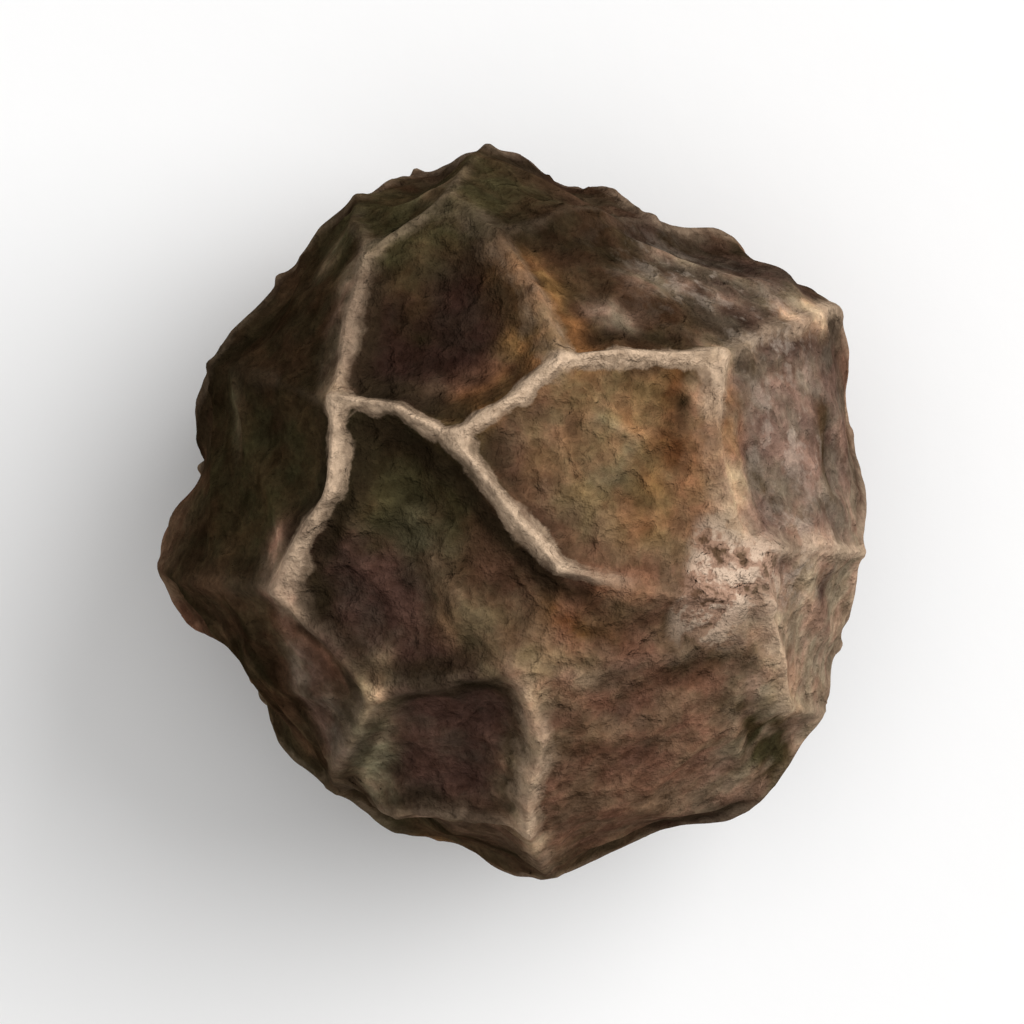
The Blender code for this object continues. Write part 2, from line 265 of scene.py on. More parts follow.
# Each ridge is a chain of junctions: its height at the first and at the last one, how pale its crest is at
# the two, and the half-width of its crest in millimetres.
RIDGES = (
    ("T1 T23", (1.0, 1.0), (1.0, 0.8), 0.072),
    ("T23 T2", (1.0, 1.0), (0.8, 1.0), 0.065),
    ("T2 T3 T4", (1.0, 1.0), (1.0, 1.0), 0.068),
    ("T2 T8", (1.0, 0.96), (1.0, 0.95), 0.088),
    ("T8 T7", (0.96, 0.93), (0.95, 0.18), 0.088),
    ("T7 T6", (0.93, 0.9), (0.10, 0.1), 0.08),
    ("T4 T25", (0.9, 0.93), (1.0, 0.2), 0.09),
    ("T25 T5 T6", (0.93, 1.0), (0.2, 0.4), 0.12),
    ("T3 T13 T14 T12", (0.9, 0.8), (0.30, 0.10), 0.13),
    ("T12 T11 T1", (0.8, 0.9), (0.20, 0.40), 0.078),
    ("T1 T9", (0.9, 0.95), (1.0, 0.9), 0.085),
    ("T9 T10", (0.95, 1.0), (0.9, 0.5), 0.100),
    ("T10 T20", (0.8, 0.8), (0.3, 0.0), 0.12),
    ("T15 T16 T17", (0.2, 0.8), (0.0, 0.1), 0.14),
    ("T20 T17", (0.8, 0.8), (0.15, 0.1), 0.09),
    ("T17 T24 T19", (0.9, 0.9), (0.2, 0.6), 0.13),
    ("R8 T26 T19", (0.7, 0.7), (0.1, 0.3), 0.08),
    ("T17 T18 T7", (0.7, 0.5), (0.15, 0.0), 0.12),
    ("T18 T21 T6", (0.5, 0.3), (0.1, 0.2), 0.09),
    ("T6 T22 R11", (0.9, 0.9), (0.6, 0.3), 0.10),
    ("T5 R1", (0.9, 0.9), (0.4, 0.6), 0.10),
    ("T4 R2", (0.9, 1.0), (0.3, 0.6), 0.09),
    ("T14 R3", (0.6, 0.8), (0.1, 0.1), 0.08),
    ("T12 R4", (0.8, 0.9), (0.2, 0.0), 0.08),
    ("T11 R5", (0.8, 0.9), (0.2, 0.0), 0.10),
    ("T1 R6", (0.4, 0.8), (0.1, 0.0), 0.08),
    ("T10 R7", (0.8, 1.0), (0.1, 0.0), 0.10),
    ("T20 R8", (0.8, 0.9), (0.25, 0.1), 0.10),
    ("T19 R9", (0.9, 1.0), (0.3, 0.1), 0.10),
    ("R1 S1 R2 S2 R3 S3 R4 S4 R5 S5", (0.9, 0.8), (0.4, 0.15), 0.08),
    ("S5 R6 S6 R7 S7 R8 S8 R9 S9 R10", (0.8, 1.0), (0.15, 0.25), 0.08),
    ("R10 R11 S10 R1", (1.0, 0.8), (0.1, 0.4), 0.08),
    ("S1 U1", (0.8, 0.8), (0.5, 0.8), 0.07),
    ("S2 U3", (0.9, 0.8), (0.4, 0.6), 0.09),
    ("S3 U4", (0.7, 0.9), (0.3, 0.6), 0.08),
    ("S4 U6", (0.9, 0.8), (0.6, 1.0), 0.065),
    ("S5 U7", (0.8, 0.7), (0.3, 0.4), 0.11),
    ("S6 U9", (0.9, 1.0), (0.7, 1.0), 0.07),
    ("S7 U11", (0.8, 0.9), (0.4, 0.6), 0.09),
    ("S8 U12", (0.9, 0.7), (0.7, 0.3), 0.08),
    ("S9 U14", (0.7, 0.9), (0.4, 0.9), 0.07),
    ("S10 U15", (0.9, 0.9), (0.8, 0.4), 0.08),
    ("U1 U2 U3 U4 U5 U6 U7 U8 U9", (0.8, 1.0), (0.9, 0.6), 0.07),
    ("U9 U10 U11 U12 U13 U14 U15 U16 U1", (1.0, 0.8), (0.6, 0.9), 0.075),
    ("U17 U18 U19 U20 U21 U22 U23 U24 U25 U17", (1.0, 1.0), (0.9, 0.3), 0.07),
    ("U2 U20", (0.8, 1.0), (0.6, 0.8), 0.065),
    ("U5 U18", (0.7, 0.9), (0.2, 0.5), 0.12),
    ("U8 U17", (0.9, 1.0), (0.5, 0.8), 0.07),
    ("U10 U24", (0.6, 0.9), (0.1, 0.3), 0.10),
    ("U13 U23", (0.8, 0.9), (0.6, 0.4), 0.08),
    ("U16 U21", (0.7, 1.0), (0.2, 0.9), 0.065),
    ("U19 U26", (0.9, 0.6), (0.6, 0.2), 0.07),
    ("U22 U26", (0.9, 0.6), (0.4, 0.2), 0.08),
    ("U25 U26", (0.9, 0.6), (0.5, 0.2), 0.08),
)

# Colours of the skin, in linear light.
PURPLE_BLACK = (0.022, 0.0125, 0.010)
PURPLE_BROWN = (0.045, 0.028, 0.023)
OLIVE_BLACK = (0.031, 0.025, 0.013)
BROWN_BLACK = (0.021, 0.014, 0.008)
RED_BROWN = (0.110, 0.064, 0.044)
DARK_BROWN = (0.048, 0.031, 0.019)
BLACK_BROWN = (0.036, 0.022, 0.013)
TAN_BROWN = (0.140, 0.095, 0.053)
GREY_BROWN = (0.036, 0.025, 0.020)
GREY_PURPLE = (0.115, 0.084, 0.070)
GREY_TAN = (0.200, 0.150, 0.115)
RIDGE_CREAM = (0.52, 0.380, 0.265)
RIDGE_TAN = (0.270, 0.192, 0.130)
WARM_BROWN = (0.165, 0.088, 0.037)
BAND_BROWN = (0.165, 0.088, 0.050)
CHESTNUT = (0.068, 0.032, 0.014)
OLIVE_TAN = (0.150, 0.106, 0.062)
OLIVE_GREY = (0.112, 0.092, 0.060)
OLIVE_PALE = (0.200, 0.172, 0.125)
PINK_TAN = (0.330, 0.222, 0.172)
# The brown of the painted shade on flanks, at the feet of ridges and along the outline.
PAINTED_SHADE_BROWN = (0.016, 0.011, 0.006)
SCAR_CREAM = (0.64, 0.48, 0.36)
SCAR_PINK = (0.38, 0.235, 0.165)
SCAR_BROWN = (0.100, 0.058, 0.033)
FLECK_CREAM = (0.38, 0.31, 0.25)

# What the skin's colour is multiplied by where it is mottled, and where highlights and shade are painted on
# its small wrinkles.
LIGHTER = (1.68, 1.66, 1.62)
DARKER = (0.58, 0.54, 0.50)
REDDER = (1.10, 0.93, 0.86)
GREENER = (0.97, 1.01, 0.90)

# Places in the basins, in millimetres from the middle, with how deep the skin sinks there against the
# basins' usual depth, and the skin's colour there.
BASINS = (
    ((-0.50, 1.25, 1.95), 1.40, PURPLE_BLACK),
    ((0.60, 0.35, 2.30), 0.70, TAN_BROWN),
    ((0.80, 1.50, 1.60), 1.00, BLACK_BROWN),
    ((1.60, 1.55, 0.90), 0.70, GREY_BROWN),
    ((-0.60, 0.10, 2.30), 1.50, OLIVE_BLACK),
    ((-0.10, -0.35, 2.35), 1.30, DARK_BROWN),
    ((-1.10, -0.60, 2.05), 1.35, PURPLE_BROWN),
    ((-0.40, -1.50, 1.80), 1.50, PURPLE_BROWN),
    ((0.60, -0.85, 2.10), 0.90, RED_BROWN),
    ((0.95, -1.60, 1.55), 0.80, RED_BROWN),
    ((2.00, 0.40, 1.20), 0.75, GREY_PURPLE),
    ((2.05, -0.95, 0.80), 0.80, GREY_TAN),
    ((-1.75, 0.35, 1.45), 1.20, OLIVE_BLACK),
    ((-1.60, 1.20, 1.35), 1.10, BROWN_BLACK),
    ((-1.75, -1.10, 1.20), 1.00, DARK_BROWN),
    ((-0.75, 1.95, 1.05), 0.90, OLIVE_BLACK),
    ((2.00, 1.10, -0.90), 1.20, RED_BROWN),
    ((1.10, 2.05, -0.90), 0.90, DARK_BROWN),
    ((-0.10, 2.30, -0.95), 1.30, PURPLE_BLACK),
    ((-1.15, 2.00, -0.80), 1.00, DARK_BROWN),
    ((-2.05, 1.00, -0.80), 1.30, BROWN_BLACK),
    ((-2.20, -0.50, -0.90), 0.90, RED_BROWN),
    ((-1.35, -1.85, -0.90), 1.20, OLIVE_BLACK),
    ((0.20, -2.30, -0.90), 1.00, DARK_BROWN),
    ((1.60, -1.65, -0.90), 1.30, PURPLE_BLACK),
    ((2.30, -0.20, -0.90), 0.80, GREY_BROWN),
    ((0.50, 1.45, -1.80), 1.30, OLIVE_BLACK),
    ((-0.90, 1.30, -1.75), 0.90, RED_BROWN),
    ((-1.50, -0.10, -1.75), 1.20, PURPLE_BLACK),
    ((-0.80, -1.40, -1.75), 0.90, DARK_BROWN),
    ((1.10, -1.10, -1.80), 1.30, BROWN_BLACK),
    ((1.50, 0.40, -1.75), 1.00, RED_BROWN),
    ((-0.50, 0.45, -2.15), 1.20, DARK_BROWN),
    ((0.55, 0.00, -2.20), 1.00, PURPLE_BLACK),
    ((-0.30, -0.50, -2.20), 1.30, BROWN_BLACK),
)

# Broad strokes of colour on the side that shows, X to the right and Y up the photograph in millimetres:
# the points that each runs through, its half-width, its colour and how much of the skin's own it covers.
# Some are painted shade on flanks and at the feet of ridges, in hollows and along the outline, one is a
# painted shadow and one a painted sheen.
STROKES = (
    (((0.46, 1.08), (0.34, 1.32), (0.24, 1.52), (0.12, 1.72)), 0.20, WARM_BROWN, 0.85),
    (((-0.25, 0.72), (0.05, 0.98), (0.12, 1.20)), 0.17, WARM_BROWN, 0.80),
    (((-0.62, 0.86), (-0.40, 0.92), (-0.14, 1.06)), 0.13, RED_BROWN, 0.40),
    (((0.62, 1.22), (1.20, 1.25)), 0.10, BROWN_BLACK, 0.80),
    (((0.66, 1.42), (0.82, 1.40)), 0.11, GREY_TAN, 0.75),
    (((1.00, 1.74), (1.32, 1.64), (1.62, 1.42)), 0.16, GREY_TAN, 0.50),
    (((1.18, 1.94), (1.42, 1.86), (1.68, 1.62)), 0.15, GREY_TAN, 0.70),
    # Painted shadow of a neighbouring peppercorn, near the top edge.
    (((0.20, 2.00), (0.80, 1.98)), 0.28, BROWN_BLACK, 0.90),
    (((1.20, 2.12), (1.66, 1.86), (2.02, 1.54)), 0.08, BROWN_BLACK, 0.80),
    (((1.38, 1.00), (1.34, 0.72)), 0.09, RIDGE_CREAM, 0.65),
    (((1.48, 0.66), (1.45, 0.40), (1.34, 0.16)), 0.20, BAND_BROWN, 1.05),
    (((1.56, 0.20), (1.58, -0.08)), 0.14, RIDGE_CREAM, 0.45),
    # This stroke and the next are painted shade on the steep flank inside the ridge from T4 to T25.
    (((1.14, 0.98), (1.10, 0.76), (1.12, 0.52), (1.20, 0.34)), 0.12, CHESTNUT, 1.00),
    (((1.22, 0.96), (1.18, 0.74), (1.17, 0.52)), 0.06, PAINTED_SHADE_BROWN, 0.70),
    (((0.12, 0.66), (0.02, 0.30), (0.20, 0.05)), 0.22, RED_BROWN, 0.70),
    (((0.92, 0.84), (0.88, 0.55), (1.00, 0.30)), 0.13, WARM_BROWN, 0.45),
    (((0.84, 0.80), (1.02, 0.58)), 0.12, DARK_BROWN, 0.30),
    (((0.74, -0.08), (1.12, -0.06)), 0.11, DARK_BROWN, 0.30),
    (((0.62, 0.62), (0.86, 0.50), (0.80, 0.22), (0.56, 0.26)), 0.08, OLIVE_GREY, 0.55),
    (((0.42, 0.66), (0.48, 0.30)), 0.06, DARK_BROWN, 0.40),
    (((0.25, 0.00), (0.70, -0.25)), 0.14, RED_BROWN, 0.50),
    (((0.62, 0.02), (1.00, 0.02)), 0.07, DARK_BROWN, 0.45),
    (((0.66, -0.06), (0.86, -0.14)), 0.12, RED_BROWN, 0.50),
    (((0.92, -0.12), (1.06, 0.14)), 0.16, WARM_BROWN, 0.50),
    # Painted shade on the flank below the ridge from T2 through T8 to T7.
    (((-0.45, 0.33), (-0.22, 0.06), (0.06, -0.28), (0.32, -0.50), (0.72, -0.62)), 0.080, PAINTED_SHADE_BROWN, 0.95),
    # Painted shadow cast by the ridge from T23 to T2 into the basin below it.
    (((-0.92, 0.50), (-0.72, 0.44), (-0.52, 0.30)), 0.10, PAINTED_SHADE_BROWN, 0.95),
    (((-0.96, 0.08), (-0.98, -0.20)), 0.13, OLIVE_BLACK, 0.80),
    # Painted shade on the deep side of the ridge from T1 through T9 to T10.
    (((-1.00, 0.55), (-1.07, 0.15), (-1.28, -0.22), (-1.38, -0.62)), 0.090, PAINTED_SHADE_BROWN, 0.90),
    # Painted sheen on the dark basin.
    (((-0.70, -0.10), (-0.52, -0.36), (-0.34, -0.70)), 0.13, OLIVE_GREY, 0.50),
    (((-0.34, -0.74), (-0.08, -0.98)), 0.13, OLIVE_TAN, 0.85),
    (((-0.08, -0.92), (0.15, -1.02), (0.48, -1.10)), 0.14, OLIVE_TAN, 0.60),
    (((0.44, -1.16), (0.54, -1.18)), 0.07, PINK_TAN, 0.30),
    (((-0.12, -0.42), (0.12, -0.62)), 0.18, RED_BROWN, 0.40),
    (((1.40, 1.12), (1.44, 1.04)), 0.11, RIDGE_CREAM, 0.60),
    (((1.98, -0.95), (2.04, -1.12)), 0.14, RIDGE_TAN, 0.35),
    # This stroke and the next are painted shade on the flank below the ridge from T7 to T6.
    (((0.28, -0.72), (0.70, -0.80)), 0.13, CHESTNUT, 0.85),
    (((0.50, -0.66), (0.85, -0.68), (1.20, -0.78)), 0.11, BLACK_BROWN, 0.65),
    (((0.66, -0.46), (0.92, -0.50)), 0.09, BAND_BROWN, 0.60),
    # Painted shade on the flank below the ridge from T7 to T6.
    (((0.95, -0.72), (1.35, -0.85)), 0.16, DARK_BROWN, 0.60),
    (((1.22, -1.04), (1.66, -1.02)), 0.16, DARK_BROWN, 0.90),
    (((1.54, -1.30), (1.74, -1.42)), 0.13, DARK_BROWN, 0.65),
    (((1.20, -0.90), (1.62, -0.92)), 0.13, DARK_BROWN, 0.45),
    (((0.12, -1.26), (0.20, -1.50), (0.10, -1.82), (0.06, -2.15), (0.12, -2.28)), 0.13, RIDGE_TAN, 0.80),
    (((0.44, -1.36), (0.62, -1.68)), 0.16, DARK_BROWN, 0.55),
    # Painted shade on the slope below the ridge from T20 to T17.
    (((-0.62, -1.14), (-0.30, -1.18), (-0.08, -1.25)), 0.075, PAINTED_SHADE_BROWN, 0.85),
    (((-0.94, -1.16), (-1.02, -1.55), (-1.04, -1.95), (-0.76, -2.20)), 0.14, OLIVE_GREY, 1.05),
    (((-0.98, -1.40), (-1.02, -1.70)), 0.10, OLIVE_PALE, 0.45),
    (((-1.02, -1.84), (-1.00, -2.02), (-0.72, -2.22)), 0.11, OLIVE_PALE, 0.60),
    (((-0.88, -2.14), (-0.62, -2.22)), 0.12, GREY_TAN, 0.70),
    (((-0.96, -1.16), (-0.98, -1.46)), 0.09, RIDGE_TAN, 1.00),
    (((-0.72, -2.12), (-0.25, -2.20), (0.05, -2.22)), 0.07, RIDGE_TAN, 0.60),
    (((0.70, -1.20), (0.95, -1.75)), 0.16, PURPLE_BROWN, 0.35),
    # Painted shade in a hollow near the outline at the lower right.
    (((1.76, -1.48), (1.82, -1.74), (1.96, -1.92)), 0.18, OLIVE_BLACK, 1.30),
    (((2.02, -1.44), (2.06, -1.58)), 0.08, GREY_TAN, 0.80),
    (((-1.62, -0.26), (-1.56, -0.62)), 0.12, PINK_TAN, 1.00),
    (((-1.48, -0.85), (-1.25, -1.12)), 0.13, RED_BROWN, 0.70),
    (((-1.54, -1.06), (-1.40, -1.36), (-1.26, -1.60)), 0.17, GREY_PURPLE, 0.95),
    (((-1.22, 0.94), (-1.20, 0.84)), 0.075, RIDGE_CREAM, 0.90),
    (((-1.20, 1.00), (-1.18, 1.28), (-1.10, 1.58), (-0.98, 1.80)), 0.12, GREY_TAN, 0.50),
    # This stroke and the next are painted shade under the ridge at the top of the dark basin.
    (((-0.72, 1.34), (-0.78, 1.74)), 0.17, BROWN_BLACK, 1.00),
    (((-0.80, 1.80), (-0.76, 2.10)), 0.15, OLIVE_BLACK, 1.20),
    (((-0.62, 2.18), (-0.44, 2.36)), 0.13, OLIVE_GREY, 0.75),
    # Painted shade under the ridge at the top of the dark basin.
    (((-0.38, 1.90), (-0.80, 2.14)), 0.08, OLIVE_BLACK, 0.80),
    (((1.86, 1.34), (2.00, 1.31)), 0.12, RIDGE_CREAM, 0.85),
    (((1.62, 1.12), (1.68, 0.98)), 0.08, DARK_BROWN, 0.70),
    (((1.92, 0.30), (2.02, -0.02)), 0.10, GREY_TAN, 0.60),
    (((1.78, 0.30), (1.86, 0.05)), 0.07, DARK_BROWN, 0.70),
    (((2.20, 0.66), (2.26, 0.30)), 0.12, DARK_BROWN, 0.90),
    (((1.98, -0.22), (2.20, -0.24)), 0.11, PINK_TAN, 0.75),
    (((2.20, -0.50), (2.24, -0.80)), 0.10, PURPLE_BROWN, 0.80),
    (((2.00, -0.55), (2.02, -0.90)), 0.12, RED_BROWN, 0.60),
    (((1.78, -0.78), (1.84, -1.10), (1.96, -1.34)), 0.10, RIDGE_TAN, 0.80),
    # Painted shade along the outline at the upper left.
    (((-1.22, 2.14), (-1.74, 1.68), (-2.20, 0.95), (-2.34, 0.38)), 0.20, PAINTED_SHADE_BROWN, 0.80),
    (((-1.34, 1.84), (-1.26, 1.96)), 0.12, OLIVE_GREY, 0.70),
    (((-1.45, 1.50), (-1.62, 1.00), (-1.75, 0.60)), 0.24, BROWN_BLACK, 0.60),
    (((-2.06, 0.90), (-2.12, 0.48)), 0.13, OLIVE_GREY, 0.40),
    # This stroke and the next two are painted shade along the outline at the left and lower left.
    (((-2.00, -0.74), (-1.84, -1.10), (-1.60, -1.46)), 0.16, BROWN_BLACK, 1.20),
    (((-2.18, 0.20), (-2.34, -0.30), (-2.28, -0.70), (-1.85, -1.22)), 0.24, PAINTED_SHADE_BROWN, 0.75),
    (((-1.98, -1.30), (-1.50, -1.90), (-0.86, -2.34), (-0.05, -2.50)), 0.13, PAINTED_SHADE_BROWN, 0.90),
)

# The slopes along these chains of junctions on the other sides are a warmer brown.
WARM_RIDGES = ("U5 U18", "U16 U21", "U8 U17", "S2 U3", "S8 U12")
WARM_HALF_WIDTH = 0.20
WARM_SHARE = 0.50

# Round these places the skin is flecked paler.
FLECKED = (
    (1.75, 1.15, 1.10),
    (1.95, 0.55, 1.20),
    (1.95, -0.25, 1.25),
    (1.35, 1.72, 1.05),
)
FLECK_REACH = 0.45

# The scar's low rise is midway between these junctions.
SCAR_JUNCTIONS = ("T5", "T6")

# The paper: its side in metres, its colours, how rough it is, and its faint clouds and grain.
PAPER_SIDE = 1.2
PAPER_GREY = (0.86, 0.86, 0.86)
PAPER_WHITE = (0.89, 0.89, 0.895)
PAPER_ROUGHNESS = 0.85
PAPER_CLOUD_LENGTH = 30.0
PAPER_GRAIN_LENGTH = 0.4
PAPER_BUMP = 0.003

# Round soft lights that look at the berry: place and width in metres, and watts.
LIGHTS = {
    "key": ((0.24, 0.13, 0.24), 0.36, 1.28),
    "overhead": ((0.0, 0.0, 0.50), 0.50, 0.86),
}

# The even light from all sides.
SKY_COLOUR = (1.0, 0.99, 0.97, 1.0)
SKY_STRENGTH = 0.37

# The camera's lens and sensor, and how much of the frame's side the berry's length fills.
LENS_MM = 400.0
SENSOR_MM = 36.0
FILLED_SHARE = 0.72


def unit(vectors):
    """Vectors scaled to length 1."""
    return vectors / np.linalg.norm(vectors, axis=-1, keepdims=True)


def on_body(x, y, pole, roundness):
    """The point of the round body straight above or below (x, y), towards the given pole."""
    out = min(1, math.hypot(x / HALF_WIDTH, y / HALF_LENGTH))
    return np.array((x, y, pole * (1 - out**roundness) ** (1 / roundness)))


def on_top(x, y):
    """The point of the round body straight above (x, y)."""
    return on_body(x, y, HEIGHT_ABOVE, ROUNDNESS_ABOVE)


def place_junctions():
    """Each junction's place, in millimetres from the middle of the berry."""
    places = {name: on_top(x, y) for name, (x, y) in TOP_JUNCTIONS.items()}
    for name, (x, y) in UNDER_JUNCTIONS.items():
        places[name] = on_body(x, y, -HEIGHT_BELOW, ROUNDNESS_BELOW)
    for name, xyz in RIM_JUNCTIONS.items():
        places[name] = np.array(xyz)
    return places


def ridge_stretches():
    """Each stretch between two junctions: its two ends, their heights and their paleness, and its width."""
    stretches = []
    for chain, chain_heights, chain_pales, width in RIDGES:
        names = chain.split()
        heights = np.linspace(*chain_heights, len(names))
        pales = np.linspace(*chain_pales, len(names))
        for i in range(len(names) - 1):
            ends = unit(PLACES[names[i]]), unit(PLACES[names[i + 1]])
            stretches.append((*ends, heights[i : i + 2], pales[i : i + 2], width))
    return stretches


def nearest_on(stretch, points):
    """The point of a stretch of ridge nearest to each point on the unit ball, and its share of the way."""
    start, end = stretch[:2]
    along = end - start
    share = np.clip((points - start) @ along / (along @ along), 0, 1)
    return unit(start + share[:, None] * along), share


def drawn_in(points):
    """Points on the unit ball moved towards the nearest ridge, the nearer ones by a greater share."""
    nearest = np.zeros_like(points)
    least = np.full(len(points), np.inf)
    for stretch in STRETCHES:
        there, _ = nearest_on(stretch, points)
        distance = np.linalg.norm(points - there, axis=1) * MEAN_RADIUS
        closer = distance < least
        least[closer] = distance[closer]
        nearest[closer] = there[closer]
    keep = np.minimum(1, least / DRAW_REACH) ** DRAW_POWER
    return unit(nearest + keep[:, None] * (points - nearest))


def smooth_noise(points, length, offset):
    """Noise from about -1 to 1 at points in millimetres, with waves of this length, new for each offset."""
    shift = Vector((offset, 2 * offset, 3 * offset))
    return np.array([noise.noise(Vector(point) / length + shift) for point in points])


def net(points):
    """How far the skin stands up at each point, from 0 to 1, how near it is to a crest, and how pale."""
    total = np.zeros(len(points))
    crest = np.zeros(len(points))
    pale = np.zeros(len(points))
    line = np.zeros(len(points))
    places = points * MEAN_RADIUS
    below = fade(-points[:, 2], *LOWER_PART)
    swell = 1 + SWELL * smooth_noise(places, SWELL_LENGTH, 31) + NICK * smooth_noise(places, NICK_LENGTH, 33)
    swell *= 1 - NARROWED_SHARE * below
    for stretch in STRETCHES:
        nearest, share = nearest_on(stretch, points)
        height, paleness = (ends[0] + share * (ends[1] - ends[0]) for ends in stretch[2:4])
        apart = np.linalg.norm(points - nearest, axis=1) * MEAN_RADIUS
        distance = np.sqrt(apart**2 + CREST_ROUNDING**2) - CREST_ROUNDING
        stand = CREST_SHARE * np.exp(-distance / CREST_REACH)
        stand += (1 - CREST_SHARE) * np.exp(-distance / SLOPE_REACH)
        total += (height * stand) ** MEETING_POWER
        near = np.exp(-((apart / swell / stretch[4]) ** 2))
        crest = np.maximum(crest, height * near)
        pale = np.maximum(pale, paleness * near)
        line = np.maximum(line, near)
    pale *= 1 - FADED_SHARE * below * fade(smooth_noise(places, FADED_LENGTH, 41), *FADED_NOISE)
    return np.minimum(1, total ** (1 / MEETING_POWER)), crest, pale, line


def near_places(points, places, reach):
    """1 at any of these places and 0 well past their reach."""
    total = np.zeros(len(points))
    for place in places:
        apart = np.linalg.norm(points - unit(np.array(place)), axis=1) * MEAN_RADIUS
        total = np.maximum(total, np.exp(-((apart / reach) ** 2)))
    return total


def blend(points, places, values, softness, power):
    """At each point on the unit ball, a mean of the places' values that is led by the nearest places."""
    total = 0
    weights = 0
    for place, value in zip(places, values):
        apart = np.linalg.norm(points - unit(np.array(place)), axis=1)
        weight = 1 / (apart**2 + softness**2) ** power
        total = total + weight[:, None] * np.atleast_1d(value)
        weights = weights + weight[:, None]
    return np.squeeze(total / weights)


def body_radius(directions):
    """The berry's own radius in each direction, through every junction of the net."""
    places = list(PLACES.values())
    radii = [np.linalg.norm(place) for place in places]
    return blend(directions, places, radii, JUNCTION_SOFTNESS, JUNCTION_POWER)


def fade(distance, start, end):
    """0 up to start, 1 past end, and smooth between them."""
    share = np.clip((distance - start) / (end - start), 0, 1)
    return share * share * (3 - 2 * share)


def spur_crests(places):
    """Small wrinkles that leave the ridges: 1 on their crests and 0 away from them."""
    waves = [smooth_noise(places, SPUR_BEND_LENGTH * SPUR_LENGTH, offset) for offset in (11, 12, 13)]
    bent = places / SPUR_LENGTH + SPUR_BEND * np.stack(waves, axis=1)
    crests = np.zeros(len(places))
    for i, place in enumerate(bent):
        (first, second, *_), _ = noise.voronoi(Vector(place))
        crests[i] = math.exp(-(second - first) * SPUR_LENGTH / 2 / SPUR_HALF_WIDTH)
    return crests


def near_line(line, points, half_width):
    """1 on a line through these points of the body, and 0 well past its half-width."""
    corners = [unit(np.array(corner)) for corner in line]
    apart = np.full(len(points), np.inf)
    for stretch in zip(corners, corners[1:]):
        there, _ = nearest_on(stretch, points)
        apart = np.minimum(apart, np.linalg.norm(points - there, axis=1) * MEAN_RADIUS)
    return np.exp(-((apart / half_width) ** 2))


def skin_colour(points):
    """The skin's colour at each point, with the painted shade, shadow and sheen of some strokes, before its
    grain and pale crests.
    """
    places, _, tints = zip(*BASINS)
    colour = blend(points, places, tints, BASIN_SOFTNESS, BASIN_POWER)
    on_ball = points * MEAN_RADIUS
    waves = [smooth_noise(on_ball, STROKE_WAVE_LENGTH, offset) for offset in (51, 52, 53)]
    waved = unit(on_ball + STROKE_WAVE * np.stack(waves, axis=1))
    broken = 1 + STROKE_BREAK * smooth_noise(on_ball, STROKE_WAVE_LENGTH, 54)
    broken += STROKE_FLAKE * smooth_noise(on_ball, STROKE_FLAKE_LENGTH, 55)
    strokes = [([on_top(x, y) for x, y in line], *rest) for line, *rest in STROKES]
    for chain in WARM_RIDGES:
        strokes.append(([PLACES[name] for name in chain.split()], WARM_HALF_WIDTH, WARM_BROWN, WARM_SHARE))
    for line, half_width, stroke_colour, share in strokes:
        cover = np.clip(share * near_line(line, waved, half_width) * broken, 0, 1)[:, None]
        colour = colour + cover * (np.array(stroke_colour) - colour)
    return colour


def skin_points(points):
    """The berry's surface for points spread over the unit ball, and what the colours need to know of it."""
    points = drawn_in(points)
    places = points * MEAN_RADIUS
    waves = [smooth_noise(places, WANDER_LENGTH, offset) for offset in (1, 2, 3)]
    ripples = [smooth_noise(places, RIPPLE_LENGTH, offset) for offset in (21, 22, 23)]
    directions = unit(places + WANDER * np.stack(waves, axis=1) + RIPPLE * np.stack(ripples, axis=1))
    basin_places, shares, _ = zip(*BASINS)
    depth = BASIN_DEPTH * blend(points, basin_places, shares, BASIN_SOFTNESS, BASIN_POWER)
    stand, crest, pale, line = net(points)
    knots = near_places(points, list(PLACES.values()), KNOT_RADIUS)
    spurs = spur_crests(places) * fade(stand, *SPUR_STAND)
    folds = np.exp(-((FOLD_SHARPNESS * smooth_noise(places, FOLD_LENGTH, 61)) ** 2))
    folds *= 1 - fade(stand, *FOLD_STAND)
    off_crest = 1 - crest

    scar = unit(sum(PLACES[name] for name in SCAR_JUNCTIONS))
    from_scar = np.linalg.norm(points - scar, axis=1) * MEAN_RADIUS
    from_flesh = np.linalg.norm(points - unit(on_top(*SCAR_MIDDLE)), axis=1) * MEAN_RADIUS
    scarred = 1 - fade(from_flesh + SCAR_EDGE * smooth_noise(places, SCAR_EDGE_LENGTH, 9), *SCAR_FADE)

    relief = SCAR_HEIGHT * (1 - fade(from_scar, SCAR_LEVEL_SHARE * SCAR_RADIUS, SCAR_RADIUS))
    relief -= depth * (1 - stand)
    beads = crest**2 * (1 - BEAD_PALE_SHARE * (1 - pale))
    relief += BEAD_HEIGHT * beads * (1 + BEAD_CHANGE * smooth_noise(places, BEAD_CHANGE_LENGTH, 5))
    relief += KNOT_HEIGHT * knots * pale
    relief += SPUR_HEIGHT * spurs * off_crest
    relief += FOLD_HEIGHT * folds
    relief += CRUMPLE_HEIGHT * smooth_noise(places, CRUMPLE_LENGTH, 6) * off_crest
    relief += GRAIN_HEIGHT * smooth_noise(places, GRAIN_LENGTH, 7)
    relief += SCAR_ROUGHNESS * scarred * smooth_noise(places, SCAR_GRAIN_LENGTH, 8)
    surface = directions * (body_radius(directions) + relief)[:, None]
    marks = {"stand": stand, "crest": crest, "pale": pale, "spur": np.maximum(spurs, folds), "scar": scarred}
    marks["line"] = line
    marks["deep"] = depth / BASIN_DEPTH
    marks["flecked"] = near_places(points, FLECKED, FLECK_REACH)
    return surface, marks, skin_colour(points)


